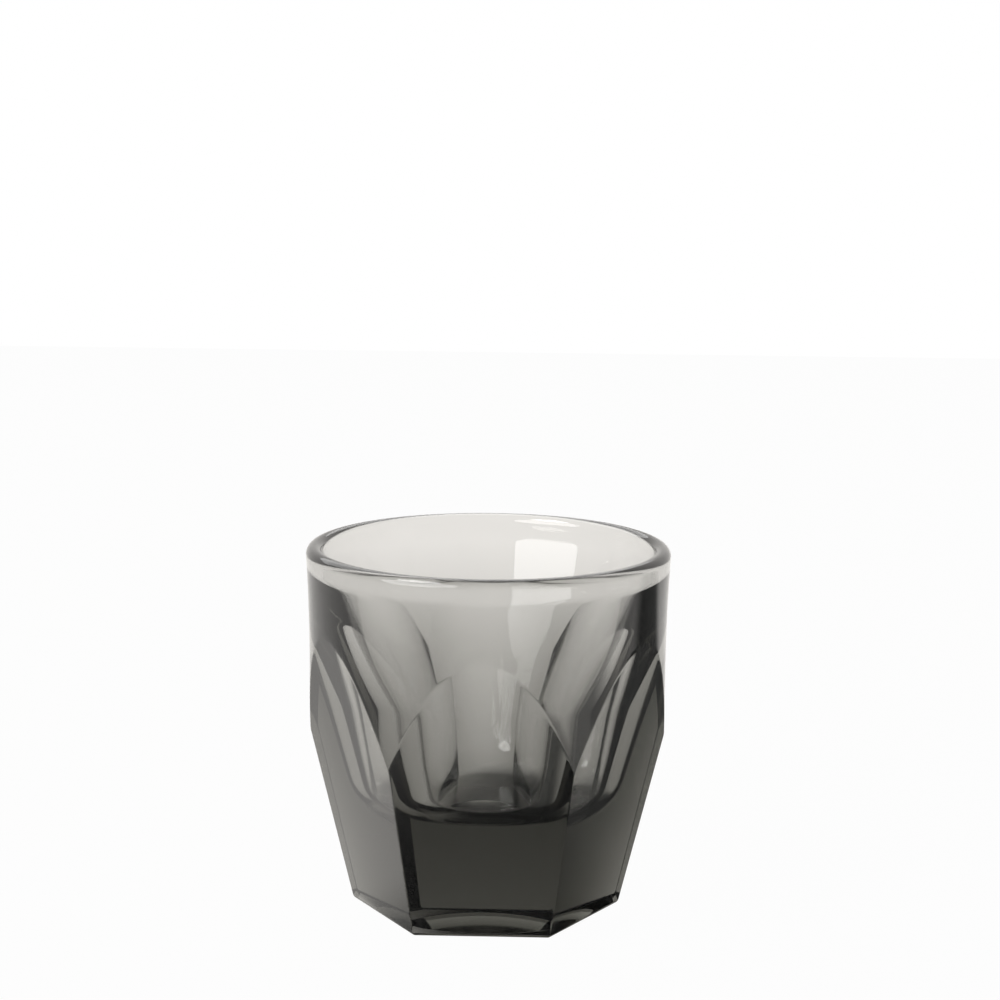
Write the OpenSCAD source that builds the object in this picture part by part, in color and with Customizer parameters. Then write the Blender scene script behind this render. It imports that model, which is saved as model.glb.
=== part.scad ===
// A small press-moulded coffee glass in smoke-grey glass. A round bowl with a
// heavy rounded rim stands on a thick base, and six flat facets are cut up the
// outside. They lean outwards, so each one runs out in an arch where it meets
// the round body, and the foot is a hexagon. All sizes are in millimetres.

/* [Overall] */
// Height from the table to the top of the rim
glass_h = 75; // [70:0.5:84]
// Outside diameter of the round body above the facets
body_d = 72.3; // [69:0.1:77]
// How far the top flares out past the round body, on each side
flare_out = 0.7; // [0.3:0.1:1.6]
// Height of the band below the rim in which the body flares out
flare_h = 24; // [16:0.5:28]
// Thickness of the rim, which is rounded over as a half circle
rim_t = 3.5; // [2.8:0.1:4.4]

/* [Facets] */
// Number of flat facets round the outside
facet_count = 6; // [6:1:8]
// Width of the foot across two opposite facets
foot_af = 47.2; // [44:0.1:50]
// Height of the plain round band from the facets' arches to the rim's top
plain_band_h = 16.5; // [13:0.5:24]
// How far the ridge between two facets is rounded back from sharp
ridge_blunt = 0.25; // [0.1:0.05:0.5]
// Radius of the heel where a facet turns under into the foot
heel_r = 1.2; // [0.6:0.1:2]

/* [Bowl] */
// Thickness of the solid glass under the middle of the bowl
base_t = 22.1; // [18:0.1:24]
// Lean of the bowl's wall from upright just below the rim, in degrees
mouth_lean = 6; // [4:0.5:9]
// Radius of the long curve in which the upper wall bends inwards
mouth_curve_r = 77; // [60:1:95]
// Lean of the straight lower wall from upright, in degrees
bowl_lean = 19.3; // [16:0.1:21]
// Radius of the curve between the bowl's wall and its floor
floor_corner_r = 8.3; // [6:0.1:11]
// Radius of the slightly dished floor of the bowl
floor_dish_r = 160; // [90:5:250]

/* [Underside] */
// Diameter of the shallow domed recess under the foot
recess_d = 31; // [24:0.5:38]
// Depth of the recess at its middle
recess_depth = 2; // [1:0.1:3.5]

/* [Hidden] */

// Facets used to draw each round form, which stays a true circle
$fn = 96;

// How far each cutting shape runs past the glass
overrun = 2;
// How far two curves that touch run into each other, so that they always meet
weld = 0.0002;

body_r = body_d / 2;
rim_r = body_r + flare_out;
rim_mid_z = glass_h - rim_t / 2;
flare_z = rim_mid_z - flare_h;
flare_r = (flare_h ^ 2 + flare_out ^ 2) / (2 * flare_out);

facet_step = 360 / facet_count;
arch_z = glass_h - plain_band_h;
facet_lean = atan((body_r - foot_af / 2) / arch_z);
ridge_share = 1 / cos(facet_step / 2);
foot_ridge_r = foot_af / 2 * ridge_share - ridge_blunt;
ridge_rise = tan(facet_lean) * ridge_share;
kink_z = (body_r - foot_ridge_r) / ridge_rise;

// Middle of the rim's half circle, and the point where it touches the bowl
rim_mid_x = rim_r - rim_t / 2;
mouth_x = rim_mid_x - rim_t / 2 * cos(mouth_lean);
mouth_z = rim_mid_z + rim_t / 2 * sin(mouth_lean);
// Centre of the upper wall's long curve, and the point where the curve ends
curve_mid_x = mouth_x - mouth_curve_r * cos(mouth_lean);
curve_mid_z = mouth_z + mouth_curve_r * sin(mouth_lean);
wall_x = curve_mid_x + mouth_curve_r * cos(bowl_lean);
wall_z = curve_mid_z - mouth_curve_r * sin(bowl_lean);
wall_tan = tan(bowl_lean);

// Centre of the corner curve, which touches both the sloping wall and the
// dished floor. It lies one corner radius inside the wall's line, and on a
// circle about the floor's own centre.
dish_mid_z = base_t + floor_dish_r;
corner_line_x = wall_x - wall_z * wall_tan - floor_corner_r / cos(bowl_lean);
corner_b = corner_line_x * wall_tan - dish_mid_z;
corner_a = 1 + wall_tan ^ 2;
corner_c = corner_line_x ^ 2 + dish_mid_z ^ 2 - (floor_dish_r - floor_corner_r) ^ 2;
corner_z = (-corner_b - sqrt(corner_b ^ 2 - corner_a * corner_c)) / corner_a;
corner_x = corner_line_x + corner_z * wall_tan;
// Direction from the floor's centre through the corner's centre
dish_angle = atan2(corner_x, dish_mid_z - corner_z);

recess_r = (recess_d ^ 2 / 4 + recess_depth ^ 2) / (2 * recess_depth);

// Half outline of the turned outside: a cone up the blunted ridges, the round
// body, the flare and the upper half of the rim.
module outside_outline() {
    difference() {
        union() {
            polygon([
                [0, 0],
                [foot_ridge_r, 0],
                [body_r, kink_z],
                [body_r, flare_z],
                [rim_r, flare_z],
                [rim_r, rim_mid_z],
                [rim_mid_x, rim_mid_z],
                [rim_mid_x, glass_h],
                [0, glass_h]
            ]);
            translate([rim_mid_x, rim_mid_z]) circle(rim_t / 2);
        }
        translate([body_r + flare_r, flare_z]) circle(flare_r);
    }
}

// Half outline of the hollow: dished floor, corner curve, straight lower wall,
// long curve of the upper wall, and the inner half of the rounded rim.
module bowl_outline() {
    intersection() {
        translate([0, dish_mid_z]) circle(floor_dish_r);
        polygon([
            [0, 0],
            [floor_dish_r * sin(dish_angle), 0],
            [floor_dish_r * sin(dish_angle),
             dish_mid_z - floor_dish_r * cos(dish_angle)],
            [corner_x, corner_z],
            [0, corner_z]
        ]);
    }
    intersection() {
        translate([corner_x, corner_z]) circle(floor_corner_r + weld);
        square([rim_r, corner_z + overrun]);
    }
    polygon([
        [0, corner_z],
        [corner_x, corner_z],
        [corner_x + floor_corner_r * cos(bowl_lean),
         corner_z - floor_corner_r * sin(bowl_lean)],
        [wall_x, wall_z],
        [0, wall_z]
    ]);
    intersection() {
        translate([curve_mid_x, curve_mid_z]) circle(mouth_curve_r + weld);
        translate([0, corner_z]) square([rim_r, glass_h - corner_z]);
    }
    difference() {
        translate([0, mouth_z])
            square([rim_mid_x, glass_h + overrun - mouth_z]);
        translate([rim_mid_x, rim_mid_z]) circle(rim_t / 2);
    }
}

// Everything outside one facet, with its flat face through the foot's edge
module facet_cutter() {
    translate([foot_af / 2, 0, 0])
        rotate([0, facet_lean, 0])
            translate([0, -rim_r, -overrun - rim_r])
                cube([2 * rim_r, 2 * rim_r, glass_h + rim_r + 2 * overrun]);
}

// The sliver below one facet that turns its foot edge into a rounded heel: a
// bar along the edge, less a rod that touches both the facet and the foot
module heel_cutter() {
    rod_x = foot_af / 2 + heel_r * tan(facet_lean) - heel_r / cos(facet_lean);
    touch_x = rod_x + heel_r * cos(facet_lean);
    touch_z = heel_r - heel_r * sin(facet_lean);
    rotate([90, 0, 0])
        linear_extrude(height = 2 * rim_r, center = true)
            difference() {
                polygon([
                    [rod_x, -overrun],
                    [touch_x + overrun, -overrun],
                    [touch_x + overrun, touch_z],
                    [touch_x, touch_z],
                    [rod_x, heel_r]
                ]);
                translate([rod_x, heel_r]) circle(heel_r + weld);
            }
}

module tumbler() {
    color([0.46, 0.47, 0.45, 0.55])
        difference() {
            rotate_extrude() outside_outline();
            for (i = [0 : facet_count - 1])
                rotate([0, 0, (i + 1 / 2) * facet_step]) {
                    facet_cutter();
                    heel_cutter();
                }
            rotate_extrude() bowl_outline();
            translate([0, 0, recess_depth - recess_r]) sphere(recess_r);
        }
}

tumbler();
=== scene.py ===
"""A small pressed coffee glass in smoke grey, dressed round its CAD frame."""

import bpy
import numpy as np
from mathutils import Matrix, Vector


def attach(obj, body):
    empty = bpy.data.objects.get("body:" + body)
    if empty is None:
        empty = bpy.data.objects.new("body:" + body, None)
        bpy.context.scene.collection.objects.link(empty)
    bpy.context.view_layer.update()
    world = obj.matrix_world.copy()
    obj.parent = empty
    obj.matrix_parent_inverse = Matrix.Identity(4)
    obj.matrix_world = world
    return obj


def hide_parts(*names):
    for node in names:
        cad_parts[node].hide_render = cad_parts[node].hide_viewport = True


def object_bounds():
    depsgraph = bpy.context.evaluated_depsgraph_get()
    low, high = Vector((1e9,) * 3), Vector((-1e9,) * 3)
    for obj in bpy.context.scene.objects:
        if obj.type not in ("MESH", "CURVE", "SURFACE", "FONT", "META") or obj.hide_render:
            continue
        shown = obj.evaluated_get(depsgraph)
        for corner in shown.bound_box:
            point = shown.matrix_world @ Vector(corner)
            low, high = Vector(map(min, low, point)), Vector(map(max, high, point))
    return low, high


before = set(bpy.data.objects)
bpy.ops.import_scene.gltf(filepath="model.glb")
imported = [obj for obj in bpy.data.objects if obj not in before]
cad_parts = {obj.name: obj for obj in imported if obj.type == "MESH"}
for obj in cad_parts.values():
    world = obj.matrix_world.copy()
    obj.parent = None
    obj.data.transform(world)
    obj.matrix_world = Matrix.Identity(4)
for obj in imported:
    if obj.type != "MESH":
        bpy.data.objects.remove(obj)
CAD_LOW, CAD_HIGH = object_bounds()

bl_info = {
    "name": "Pressed Coffee Glass",
    "version": (1, 0, 0),
    "blender": (4, 5, 0),
    "location": "View3D > Sidebar > Glass",
    "description": "A faceted smoke-grey coffee glass on a pale studio floor",
    "category": "Object",
}

MM = 0.001
FACETS = 6
STEP = 2 * np.pi / FACETS
GLASS_HEIGHT = CAD_HIGH.z

# Columns to a facet, and how far they crowd towards its two ridges
FACET_COLUMNS = 32
RIDGE_CROWD = 0.9
# Rows of the mesh, as shares of the recess, the foot's ring and the bowl's floor
RECESS_SHARES = (0.08, 0.2, 0.35, 0.5, 0.64, 0.76, 0.86, 0.93, 0.97, 0.99, 1.0)
RING_SHARES = (0.02, 0.06, 0.2, 0.4, 0.6, 0.8, 0.92, 0.98)
FLOOR_SHARES = (0.85, 0.68, 0.5, 0.33, 0.18, 0.07)
# Rows close to a facet's arch, in millimetres below and above it
ARCH_ROWS = (-1.5, -0.9, -0.6, -0.4, -0.2, 0, 0.2, 0.4, 0.6, 0.9, 1.5)
# Numbers of rows in the other parts
HEEL_ROWS = 11
FACET_ROWS = 32
BODY_ROWS = 29
RIM_ROWS = 30
LIP_ROWS = 5
WALL_ROWS = 53
CORNER_ROWS = 19
# Power by which the rows of the body lie closer together down at the arches
BODY_SPREAD = 1.2
# Corrections that find an arch's height, and the share of the error each takes off
ARCH_PASSES = 20
ARCH_SHARE = 0.9
# Share of the floor's rise by which the circle of its corner is lifted
CORNER_LIFT_SHARE = 0.6
# Width of the waves that pressing left in the surface
WAVE_WIDTH = 12 * MM

# Width of the camera's sensor in millimetres
SENSOR_WIDTH = 36
# Half of the floor's side, and the backdrop's left, right, distance and height, in metres
FLOOR_HALF = 1.5
BACKDROP = (-0.7, 1.2, 0.9, 0.4)
# Share of plain white in the floor as the camera sees it, the rest being lit paper
FLOOR_WHITE = 0.975
# sRGB hex of the white that glass and gloss see
WARM_WHITE = "fffcf8"
# Painted shade: ellipses on the floor, placed where the glass's shadow should fall. Inside them
# glass or gloss sees the grey paper as the lamps light it, its real shadow included, instead of
# plain white. Columns: middle x and y, turn, half length and half width. Round the foot both glass
# and gloss see them. The painted cast shadow to the back right is seen by gloss only
FOOT_PAINTED_SHADES = ((0.012, 0.005, 0, 0.028, 0.028), (0.03, -0.045, 0, 0.06, 0.06))
# Painted cast shadow to the back right, seen only in reflections
PAINTED_CAST_SHADOWS = ((0.165, 0.095, 0.52, 0.19, 0.07),)
# Where the soft edge of such an ellipse begins and ends, in its half lengths
SHADE_EDGE = (0.7, 1.3)
# Lamps: name, place, what it is aimed at, width, height, watts and shape
LAMPS = (
    ("lamp_back", (-0.27, 0.73, 0.78), (0, 0, 0.03), 1.3, 0.75, 4.6, "RECTANGLE"),
    ("lamp_left", (-0.55, -0.58, 0.47), (0, 0, 0.47), 0.78, 0.94, 7.6, "ELLIPSE"),
    ("lamp_high", (-0.46, -0.29, 0.77), (0, 0, 0.03), 0.34, 0.34, 2.6, "DISK"),
)


class GlassSizes(bpy.types.PropertyGroup):
    """Sizes of the glass.

    They are the solid's, but here the ridges are round, the arches are soft, and
    the bowl has more bends, all within half a millimetre of the solid's.
    """
    body_radius: bpy.props.FloatProperty(
        name="Body radius", description="Radius of the round body above the facets",
        default=36.15 * MM, unit="LENGTH", precision=5)
    flare_out: bpy.props.FloatProperty(
        name="Flare", description="How far the top flares out past the round body",
        default=0.7 * MM, unit="LENGTH", precision=5)
    flare_height: bpy.props.FloatProperty(
        name="Flare height", description="Height of the band in which the body flares out",
        default=24 * MM, unit="LENGTH", precision=5)
    rim_thickness: bpy.props.FloatProperty(
        name="Rim thickness", description="Thickness of the rounded rim",
        default=3.5 * MM, unit="LENGTH", precision=5)
    foot_width: bpy.props.FloatProperty(
        name="Foot width", description="Width of the foot across two opposite facets",
        default=47.2 * MM, unit="LENGTH", precision=5)
    plain_band: bpy.props.FloatProperty(
        name="Plain band", description="Height of the plain band above the facets' arches",
        default=16.5 * MM, unit="LENGTH", precision=5)
    ridge_radius: bpy.props.FloatProperty(
        name="Ridge radius", description="Radius of the ridge between two facets",
        default=0.35 * MM, unit="LENGTH", precision=5)
    crease_blend: bpy.props.FloatProperty(
        name="Crease blend", description="Depth in which a facet melts into the round body",
        default=0.12 * MM, unit="LENGTH", precision=5)
    heel_radius: bpy.props.FloatProperty(
        name="Heel radius", description="Radius of the heel where a facet turns under",
        default=1.2 * MM, unit="LENGTH", precision=5)
    base_thickness: bpy.props.FloatProperty(
        name="Base thickness", description="Height of the bowl's floor above the table",
        default=22.6 * MM, unit="LENGTH", precision=5)
    wall_heights: bpy.props.FloatVectorProperty(
        name="Wall heights", description="Heights at which the lean of the bowl's wall is given",
        default=[z * MM for z in (26, 36, 46, 61, 69.3, 70.7)], size=6, unit="LENGTH", precision=5)
    wall_leans: bpy.props.FloatVectorProperty(
        name="Wall leans", description="Lean of the bowl's wall from upright at those heights",
        default=np.radians([17.8, 17.6, 21.4, 15.1, 14.2, 0]).tolist(), size=6, unit="ROTATION")
    floor_corner: bpy.props.FloatProperty(
        name="Floor corner", description="Radius between the bowl's wall and its floor",
        default=8.2 * MM, unit="LENGTH", precision=5)
    floor_dish: bpy.props.FloatProperty(
        name="Floor dish", description="Rise of the slightly dished floor to its corner",
        default=0.2 * MM, unit="LENGTH", precision=5)
    recess_width: bpy.props.FloatProperty(
        name="Recess width", description="Width of the shallow recess under the foot",
        default=31 * MM, unit="LENGTH", precision=5)
    recess_depth: bpy.props.FloatProperty(
        name="Recess depth", description="Depth of the recess at its middle",
        default=2 * MM, unit="LENGTH", precision=5)


class GlassFinish(bpy.types.PropertyGroup):
    """Colour and surface of the glass."""
    tint: bpy.props.StringProperty(
        name="Tint", description="sRGB hex of the light that the smoke glass lets through",
        default="c4c4c1")
    tint_density: bpy.props.FloatProperty(
        name="Tint density", description="How strongly a metre of glass takes up light",
        default=143.0)
    refraction: bpy.props.FloatProperty(
        name="Refraction", description="Index of refraction of soda-lime glass", default=1.52)
    ripple: bpy.props.FloatProperty(
        name="Ripple", description="Depth of the faint waves left by pressing",
        default=0.004 * MM, unit="LENGTH", precision=6)


class StudioSettings(bpy.types.PropertyGroup):
    """Camera, the colour of the paper, and the room."""
    focal_length: bpy.props.FloatProperty(
        name="Focal length", description="Lens for a 36 mm sensor", default=105.0457,
        unit="CAMERA")
    distance: bpy.props.FloatProperty(
        name="Distance", description="Camera's distance in front of the glass",
        default=0.578951, unit="LENGTH", precision=5)
    side_shift: bpy.props.FloatProperty(
        name="Side shift", description="Camera's place to the right of the glass",
        default=0.002218, unit="LENGTH", precision=5)
    eye_height: bpy.props.FloatProperty(
        name="Eye height", description="Camera's height above the floor",
        default=0.187524, unit="LENGTH", precision=5)
    tilt: bpy.props.FloatProperty(
        name="Tilt", description="How far the camera looks down", default=0.1767,
        subtype="ANGLE")
    roll: bpy.props.FloatProperty(
        name="Roll", description="Turn of the camera about its view", default=0.0094,
        subtype="ANGLE")
    orbit: bpy.props.FloatProperty(
        name="Orbit", description="Turn of the camera round the glass", default=-0.0287,
        subtype="ANGLE")
    # The paper's mid grey is what shows inside the painted shade ellipses, so it sets how dark
    # that painted shade is. The camera sees the floor nearly white
    floor_colour: bpy.props.StringProperty(
        name="Floor colour", description="sRGB hex of the floor's and backdrop's paper",
        default="969694")
    wall_colour: bpy.props.StringProperty(
        name="Wall colour", description="sRGB hex of the room, as matt surfaces see it",
        default="505050")
    room_seen: bpy.props.FloatProperty(
        name="Room seen", description="How white the room looks through the glass",
        default=0.95, min=0.0, max=1.0)


def linear(hex_colour):
    """Linear RGBA from an sRGB hex value."""
    c = np.array([int(hex_colour[i:i + 2], 16) for i in (0, 2, 4)]) / 255
    c = np.where(c <= 0.04045, c / 12.92, ((c + 0.055) / 1.055) ** 2.4)
    return (*c.tolist(), 1.0)


def add_node(tree, kind, settings=(), values=(), links=()):
    """Adds a node, sets its properties and sockets, and links its inputs."""
    node = tree.nodes.new(kind)
    for name, value in settings:
        setattr(node, name, value)
    for socket, value in values:
        node.inputs[socket].default_value = value
    for socket, source in links:
        tree.links.new(source, node.inputs[socket])
    return node


def blank_material(name):
    """A material with only its output node."""
    material = bpy.data.materials.new(name)
    material.use_nodes = True
    tree = material.node_tree
    tree.nodes.clear()
    return material, tree, tree.nodes.new("ShaderNodeOutputMaterial")


def smoke_glass(finish):
    """Soda-lime glass tinted smoke grey in the melt, pressed and fire-polished.

    The tint is in the depth of the glass, so the thin rim looks clear and the
    thick base nearly black. Fire-polishing leaves a bright, smooth skin with
    faint waves from the mould.
    """
    material, tree, out = blank_material("smoke_glass_pressed")
    place = add_node(tree, "ShaderNodeTexCoord")
    # the waves are twice as long upwards, the way the glass was drawn in the mould
    stretch = add_node(
        tree, "ShaderNodeMapping", values=[("Scale", (1.0, 1.0, 0.5))],
        links=[("Vector", place.outputs["Object"])])
    waves = add_node(
        tree, "ShaderNodeTexNoise",
        values=[("Scale", 1 / WAVE_WIDTH), ("Detail", 1.0), ("Roughness", 0.4)],
        links=[("Vector", stretch.outputs["Vector"])])
    bump = add_node(
        tree, "ShaderNodeBump", values=[("Strength", 1.0), ("Distance", finish.ripple)],
        links=[("Height", waves.outputs["Fac"])])
    glass = add_node(
        tree, "ShaderNodeBsdfPrincipled",
        values=[("Base Color", (1, 1, 1, 1)), ("Roughness", 0.0), ("IOR", finish.refraction),
                ("Transmission Weight", 1.0)],
        links=[("Normal", bump.outputs["Normal"])])
    depth = add_node(
        tree, "ShaderNodeVolumeAbsorption",
        values=[("Color", linear(finish.tint)), ("Density", finish.tint_density)])
    tree.links.new(glass.outputs["BSDF"], out.inputs["Surface"])
    tree.links.new(depth.outputs["Volume"], out.inputs["Volume"])
    return material


def body_profile(z, s):
    """Radius of the round body: a cylinder, then a circular flare up to the rim."""
    start = GLASS_HEIGHT - s.rim_thickness / 2 - s.flare_height
    bend = (s.flare_height ** 2 + s.flare_out ** 2) / (2 * s.flare_out)
    rise = np.clip(z - start, 0, None)
    return s.body_radius + bend - np.sqrt(bend ** 2 - rise ** 2)


def facet_distance(z, s):
    """A facet's distance from the axis: a sloping line above a heel of one radius."""
    arch = GLASS_HEIGHT - s.plain_band
    slope = (s.body_radius - s.foot_width / 2) / arch
    lean = np.arctan(slope)
    rod = s.foot_width / 2 + s.heel_radius * (np.tan(lean) - 1 / np.cos(lean))
    heel = rod + np.sqrt(np.clip(s.heel_radius ** 2 - (s.heel_radius - z) ** 2, 0, None))
    touch = s.heel_radius * (1 - np.sin(lean))
    return np.where(z < touch, heel, s.foot_width / 2 + z * slope), touch, slope


def facet_radius(theta, z, s):
    """Radius of a hexagon with rounded corners.

    Within a facet it is the distance over the cosine of the angle from the
    facet's middle; near a ridge it is where the ray meets the ridge's circle.
    """
    apothem = facet_distance(z, s)[0]
    off = np.abs(theta % STEP - STEP / 2)
    q = s.ridge_radius
    centre = (apothem - q) / np.cos(STEP / 2)
    turn = STEP / 2 - off
    flat_end = np.arctan((apothem - q) * np.tan(STEP / 2) / apothem)
    round_part = centre * np.cos(turn) + np.sqrt(
        np.clip(q ** 2 - (centre * np.sin(turn)) ** 2, 0, None))
    return np.where(off > flat_end, round_part, apothem / np.cos(off))


def outside_radius(theta, z, s):
    """The smaller of the facet and the body radius, blended where they are close.

    The blend takes off a quarter of its depth times the square of their nearness,
    which is 1 where they meet and 0 a whole depth apart.
    """
    a = facet_radius(theta, z, s)
    b = body_profile(z, s)
    near = np.clip(1 - np.abs(a - b) / s.crease_blend, 0, None)
    return np.minimum(a, b) - near ** 2 * s.crease_blend / 4


def arch_height(theta, s):
    """Height at which a facet and the round body meet.

    Each pass corrects it by a share of the gap between the two radii over the
    facet's slope.
    """
    slope = facet_distance(np.zeros(1), s)[2]
    z = np.full_like(theta, GLASS_HEIGHT / 2)
    for _ in range(ARCH_PASSES):
        z = z + (body_profile(z, s) - facet_radius(theta, z, s)) / slope * ARCH_SHARE
    return z


def column_angles():
    """Angles round the glass, crowded at each ridge by a sine."""
    t = np.arange(FACET_COLUMNS) / FACET_COLUMNS
    one = (t - RIDGE_CROWD / (2 * np.pi) * np.sin(2 * np.pi * t)) * STEP
    return (one[None, :] + STEP * np.arange(FACETS)[:, None]).ravel()


def underside_rows(theta, s):
    """Recess as a spherical dome, then the flat ring out to the heel."""
    half = s.recess_width / 2
    ball = (half ** 2 + s.recess_depth ** 2) / (2 * s.recess_depth)
    r = half * np.array(RECESS_SHARES)
    z = s.recess_depth - ball + np.sqrt(ball ** 2 - r ** 2)
    dome = [np.broadcast_to(v[:, None], (len(r), len(theta))) for v in (r, z)]
    edge = facet_radius(theta, np.zeros_like(theta), s)
    t = np.array(RING_SHARES)[:, None]
    ring_r = half + (edge[None, :] - half) * t
    return np.vstack([dome[0], ring_r]), np.vstack([dome[1], np.zeros_like(ring_r)])


def outside_rows(theta, s):
    """Heel, facets and body, in rows that follow the arches.

    Above the arches the rows are spread by a power, closer at the bottom.
    """
    touch = facet_distance(np.zeros(1), s)[1]
    arch = arch_height(theta, s)[None, :]
    top = GLASS_HEIGHT - s.rim_thickness / 2
    heel_end = np.pi / 2 - np.arcsin(1 - touch / s.heel_radius)
    turn = np.linspace(0, 1, HEEL_ROWS)[:, None] * heel_end
    heel = s.heel_radius * (1 - np.cos(turn)) * np.ones_like(arch)
    near = np.array(ARCH_ROWS)[:, None] * MM
    t = np.linspace(0, 1, FACET_ROWS + 2)[1:-1, None]
    low = touch + (arch + near[0] - touch) * t
    t = np.linspace(0, 1, BODY_ROWS + 1)[1:, None] ** BODY_SPREAD
    high = arch + near[-1] + (top - arch - near[-1]) * t
    z = np.vstack([heel, low, arch + near, high])
    return outside_radius(theta[None, :], z, s), z


def inside_profile(s):
    """Turned profile from the rim's outer edge over the top to the bowl's middle.

    Half circle of the rim, a wall whose radius is the rim's less the sum of
    tan(lean) down to each height, a corner circle that touches the wall, and
    a floor that rises as a parabola from its middle to that circle.
    """
    half = s.rim_thickness / 2
    rim_r = s.body_radius + s.flare_out - half
    rim_z = GLASS_HEIGHT - half
    a = np.linspace(0, np.pi, RIM_ROWS + 1)[1:]
    rim = np.stack([rim_r + half * np.cos(a), rim_z + half * np.sin(a)], 1)
    heights = np.array(s.wall_heights)
    corner_z = s.base_thickness + s.floor_corner + s.floor_dish * CORNER_LIFT_SHARE
    foot_lean = s.wall_leans[0]
    wall_end = corner_z - s.floor_corner * np.sin(foot_lean)
    z = np.concatenate([
        np.linspace(rim_z, heights[-1], LIP_ROWS + 1),
        np.linspace(heights[-1], heights[-2], LIP_ROWS + 1)[1:],
        np.linspace(heights[-2], wall_end, WALL_ROWS + 1)[1:]])
    slope = np.tan(np.interp(z, heights, s.wall_leans))
    drop = np.concatenate([[0], np.cumsum((slope[1:] + slope[:-1]) / 2 * np.diff(z))])
    wall = np.stack([rim_r - half + drop, z], 1)
    corner_x = wall[-1, 0] - s.floor_corner * np.cos(foot_lean)
    end = np.pi / 2 - np.arctan(2 * s.floor_dish / corner_x)
    a = np.linspace(foot_lean, end, CORNER_ROWS + 1)[1:]
    bend = np.stack(
        [corner_x + s.floor_corner * np.cos(a), corner_z - s.floor_corner * np.sin(a)], 1)
    floor_x, floor_z = bend[-1]
    x = floor_x * np.array(FLOOR_SHARES)
    steep = np.tan(np.pi / 2 - end) / (2 * floor_x)
    floor = np.stack([x, floor_z - steep * (floor_x ** 2 - x ** 2)], 1)
    return np.vstack([rim, wall[1:], bend, floor])


def close_grid(name, radius, height, theta, first, last):
    """Mesh of rows round the axis, closed by a pole at each end.

    A point is (r cos a, r sin a, z); rows run from the underside's middle
    outwards, up the outside, over the rim and down the bowl, so faces look out.
    """
    rows, cols = radius.shape
    points = np.stack([radius * np.cos(theta), radius * np.sin(theta), height], -1)
    points = np.vstack([points.reshape(-1, 3), (0, 0, first), (0, 0, last)])
    row = np.arange(rows - 1)[:, None] * cols
    col = np.arange(cols)[None, :]
    after = (col + 1) % cols
    quads = np.stack([row + col, row + after, row + cols + after, row + cols + col], -1)
    end = (rows - 1) * cols
    under = np.stack([np.full(cols, rows * cols), after[0], col[0]], 1)
    over = np.stack([end + col[0], end + after[0], np.full(cols, rows * cols + 1)], 1)
    faces = quads.reshape(-1, 4).tolist() + under.tolist() + over.tolist()
    mesh = bpy.data.meshes.new(name)
    mesh.from_pydata(points.tolist(), [], faces)
    mesh.polygons.foreach_set("use_smooth", np.ones(len(mesh.polygons), bool))
    mesh.update()
    piece = bpy.data.objects.new(name, mesh)
    bpy.context.scene.collection.objects.link(piece)
    return piece


class GLASS_OT_tumbler(bpy.types.Operator):
    """Build the glass from its sizes in smoke glass, to stand in for the solid."""
    bl_idname = "glass.tumbler"
    bl_label = "Make Glass"

    def execute(self, context):
        s = context.scene.glass_sizes
        theta = column_angles()
        under_r, under_z = underside_rows(theta, s)
        out_r, out_z = outside_rows(theta, s)
        inside = inside_profile(s)
        ones = np.ones_like(theta)[None, :]
        radius = np.vstack([under_r, out_r, inside[:, :1] * ones])
        height = np.vstack([under_z, out_z, inside[:, 1:] * ones])
        middle = 2 * inside[-1, 1] - inside[-2, 1]
        piece = close_grid("pressed_glass", radius, height, theta, s.recess_depth, middle)
        piece.data.materials.append(smoke_glass(context.scene.glass_finish))
        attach(piece, "root")
        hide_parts("tumbler")
        return {"FINISHED"}


def flat_sheet(name, corners, material):
    """A flat four-sided sheet of the studio, with its material."""
    mesh = bpy.data.meshes.new(name)
    mesh.from_pydata(corners, [], [(0, 1, 2, 3)])
    mesh.materials.append(material)
    sheet = bpy.data.objects.new(name, mesh)
    bpy.context.scene.collection.objects.link(sheet)


def camera_white(tree, path):
    """Pure white for the camera, a faintly warm white for all else."""
    return add_node(
        tree, "ShaderNodeMix", settings=[("data_type", "RGBA")],
        values=[(6, linear(WARM_WHITE)), (7, (1, 1, 1, 1))],
        links=[(0, path.outputs["Is Camera Ray"])])


def faded(tree, place, share, ellipse):
    """A share that falls smoothly to nothing inside an ellipse on the floor.

    It is multiplied by a smooth step of the distance from the ellipse's middle,
    measured in the ellipse's half lengths.
    """
    x, y, turn, length, width = ellipse
    fit = add_node(
        tree, "ShaderNodeMapping", settings=[("vector_type", "TEXTURE")],
        values=[("Location", (x, y, 0)), ("Rotation", (0, 0, turn)),
                ("Scale", (length, width, 1))],
        links=[("Vector", place.outputs["Object"])])
    reach = add_node(
        tree, "ShaderNodeVectorMath", settings=[("operation", "LENGTH")],
        links=[(0, fit.outputs["Vector"])])
    grow = add_node(
        tree, "ShaderNodeMapRange", settings=[("interpolation_type", "SMOOTHSTEP")],
        values=[("From Min", SHADE_EDGE[0]), ("From Max", SHADE_EDGE[1])],
        links=[("Value", reach.outputs["Value"])])
    return add_node(
        tree, "ShaderNodeMath", settings=[("operation", "MULTIPLY")],
        links=[(0, share), (1, grow.outputs[0])]).outputs[0]


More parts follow.
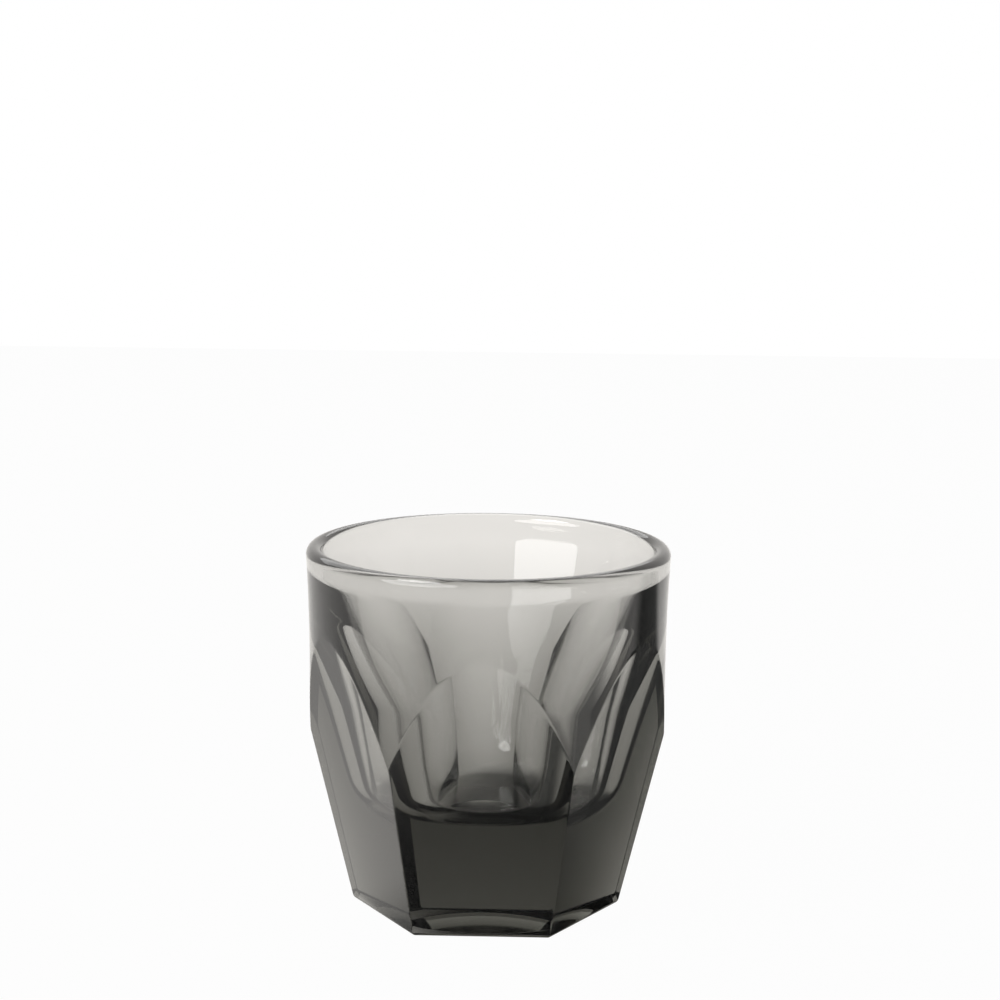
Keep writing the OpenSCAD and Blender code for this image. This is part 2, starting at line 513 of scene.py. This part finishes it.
def studio_paper(name, hex_colour, camera_share=1.0, painted_shades=(), gloss_painted_shades=()):
    """Matt paper, seen as plain white by the camera and by glass and gloss.

    camera_share leaves room for a faint shadow. shades are painted shade: ellipses on the floor
    (x, y, turn, half length, half width), placed where the glass's shadow should fall. Inside them
    glass and gloss see the paper as the lamps light it, real shadow included, instead of white. In
    gloss_painted_shades, a painted cast shadow, only gloss does.
    """
    material, tree, out = blank_material(name)
    paper = add_node(tree, "ShaderNodeBsdfDiffuse", values=[("Color", linear(hex_colour))])
    path = add_node(tree, "ShaderNodeLightPath")
    white = add_node(
        tree, "ShaderNodeEmission", values=[("Strength", 1.0)],
        links=[("Color", camera_white(tree, path).outputs[2])])
    place = add_node(tree, "ShaderNodeTexCoord")
    gloss = path.outputs["Is Glossy Ray"]
    # painted cast shadow: in these ellipses gloss alone sees the lit grey paper
    for ellipse in gloss_painted_shades:
        gloss = faded(tree, place, gloss, ellipse)
    share = add_node(
        tree, "ShaderNodeMath", settings=[("operation", "MAXIMUM")],
        links=[(0, gloss), (1, path.outputs["Is Transmission Ray"])]).outputs[0]
    # painted shade round the foot: in these ellipses glass and gloss see the lit grey paper
    for ellipse in painted_shades:
        share = faded(tree, place, share, ellipse)
    seen = add_node(
        tree, "ShaderNodeMath", settings=[("operation", "MULTIPLY_ADD")],
        values=[(1, camera_share)],
        links=[(0, path.outputs["Is Camera Ray"]), (2, share)])
    mix = add_node(
        tree, "ShaderNodeMixShader",
        links=[(0, seen.outputs[0]), (1, paper.outputs[0]), (2, white.outputs[0])])
    tree.links.new(mix.outputs[0], out.inputs["Surface"])
    return material


def soft_box(name, place, target, width, height, watts, shape):
    """A soft lamp with a rectangular or round front, aimed at a point."""
    lamp = bpy.data.lights.new(name, "AREA")
    lamp.shape = shape
    lamp.size = width
    lamp.size_y = height
    lamp.energy = watts
    box = bpy.data.objects.new(name, lamp)
    box.location = place
    aim = Vector(target) - Vector(place)
    box.rotation_euler = aim.to_track_quat("-Z", "Y").to_euler()
    bpy.context.scene.collection.objects.link(box)


def set_camera(scene, c):
    """Camera in front of the glass, looking down, rolled a little and turned round it."""
    look = Vector((0, np.cos(c.tilt), -np.sin(c.tilt)))
    right = Vector((1, 0, 0))
    up = right.cross(look)
    across = right * np.cos(c.roll) + up * np.sin(c.roll)
    above = up * np.cos(c.roll) - right * np.sin(c.roll)
    place = Vector((c.side_shift, -c.distance, c.eye_height))
    frame_rows = Matrix((across, above, -look)).transposed().to_4x4()
    lens = bpy.data.cameras.new("photo_camera")
    lens.sensor_width = SENSOR_WIDTH
    lens.lens = c.focal_length
    camera = bpy.data.objects.new("photo_camera", lens)
    orbit = Matrix.Rotation(-c.orbit, 4, "Z")
    camera.matrix_world = orbit @ Matrix.Translation(place) @ frame_rows
    scene.collection.objects.link(camera)
    scene.camera = camera


def studio_world(scene, c):
    """Room that is white to the camera and gloss, nearly so through glass, and dark to matt."""
    world = bpy.data.worlds.new("studio_room")
    world.use_nodes = True
    scene.world = world
    tree = world.node_tree
    tree.nodes.clear()
    path = add_node(tree, "ShaderNodeLightPath")
    room = add_node(tree, "ShaderNodeBackground", values=[("Color", linear(c.wall_colour))])
    white = add_node(
        tree, "ShaderNodeBackground", links=[("Color", camera_white(tree, path).outputs[2])])
    clear = add_node(
        tree, "ShaderNodeMath", settings=[("operation", "MULTIPLY")],
        values=[(1, c.room_seen)], links=[(0, path.outputs["Is Transmission Ray"])])
    gloss = add_node(
        tree, "ShaderNodeMath", settings=[("operation", "MAXIMUM")],
        links=[(0, path.outputs["Is Glossy Ray"]), (1, clear.outputs[0])])
    seen = add_node(
        tree, "ShaderNodeMath", settings=[("operation", "MAXIMUM")],
        links=[(0, path.outputs["Is Camera Ray"]), (1, gloss.outputs[0])])
    mix = add_node(
        tree, "ShaderNodeMixShader",
        links=[(0, seen.outputs[0]), (1, room.outputs[0]), (2, white.outputs[0])])
    out = add_node(tree, "ShaderNodeOutputWorld")
    tree.links.new(mix.outputs[0], out.inputs["Surface"])


class STUDIO_OT_stage(bpy.types.Operator):
    """Set the camera, floor, backdrop, lamps and world."""
    bl_idname = "studio.stage"
    bl_label = "Set Stage"

    def execute(self, context):
        c = context.scene.studio_settings
        set_camera(context.scene, c)
        # The floor paper carries the painted shade round the foot and the painted cast shadow to
        # the back right
        ground = studio_paper(
            "floor_paper", c.floor_colour, FLOOR_WHITE, FOOT_PAINTED_SHADES, PAINTED_CAST_SHADOWS)
        half = FLOOR_HALF
        flat_sheet(
            "floor", [(-half, -half, 0), (half, -half, 0), (half, half, 0), (-half, half, 0)],
            ground)
        left, right, away, top = BACKDROP
        flat_sheet(
            "backdrop",
            [(left, away, 0), (right, away, 0), (right, away, top), (left, away, top)],
            studio_paper("backdrop_paper", c.floor_colour))
        for lamp in LAMPS:
            soft_box(*lamp)
        studio_world(context.scene, c)
        context.scene.view_settings.view_transform = "Standard"
        return {"FINISHED"}


class VIEW3D_PT_glass(bpy.types.Panel):
    """Lists the sizes, the finish and the two steps."""
    bl_label = "Pressed Coffee Glass"
    bl_idname = "VIEW3D_PT_glass"
    bl_space_type = "VIEW_3D"
    bl_region_type = "UI"
    bl_category = "Glass"

    def draw(self, context):
        layout = self.layout
        for group in (context.scene.glass_sizes, context.scene.glass_finish,
                      context.scene.studio_settings):
            box = layout.box()
            for name in group.__annotations__:
                box.prop(group, name)
        for step in (GLASS_OT_tumbler, STUDIO_OT_stage):
            layout.operator(step.bl_idname)


CLASSES = (GlassSizes, GlassFinish, StudioSettings, GLASS_OT_tumbler, STUDIO_OT_stage,
           VIEW3D_PT_glass)


def register():
    """Register the classes and hang the settings on the scene."""
    for cls in CLASSES:
        bpy.utils.register_class(cls)
    bpy.types.Scene.glass_sizes = bpy.props.PointerProperty(type=GlassSizes)
    bpy.types.Scene.glass_finish = bpy.props.PointerProperty(type=GlassFinish)
    bpy.types.Scene.studio_settings = bpy.props.PointerProperty(type=StudioSettings)


def unregister():
    """Take the settings and the classes away again."""
    del bpy.types.Scene.studio_settings
    del bpy.types.Scene.glass_finish
    del bpy.types.Scene.glass_sizes
    for cls in reversed(CLASSES):
        bpy.utils.unregister_class(cls)


def main():
    """Build the glass and its stage."""
    register()
    bpy.ops.glass.tumbler()
    bpy.ops.studio.stage()


if __name__ == "__main__":
    main()
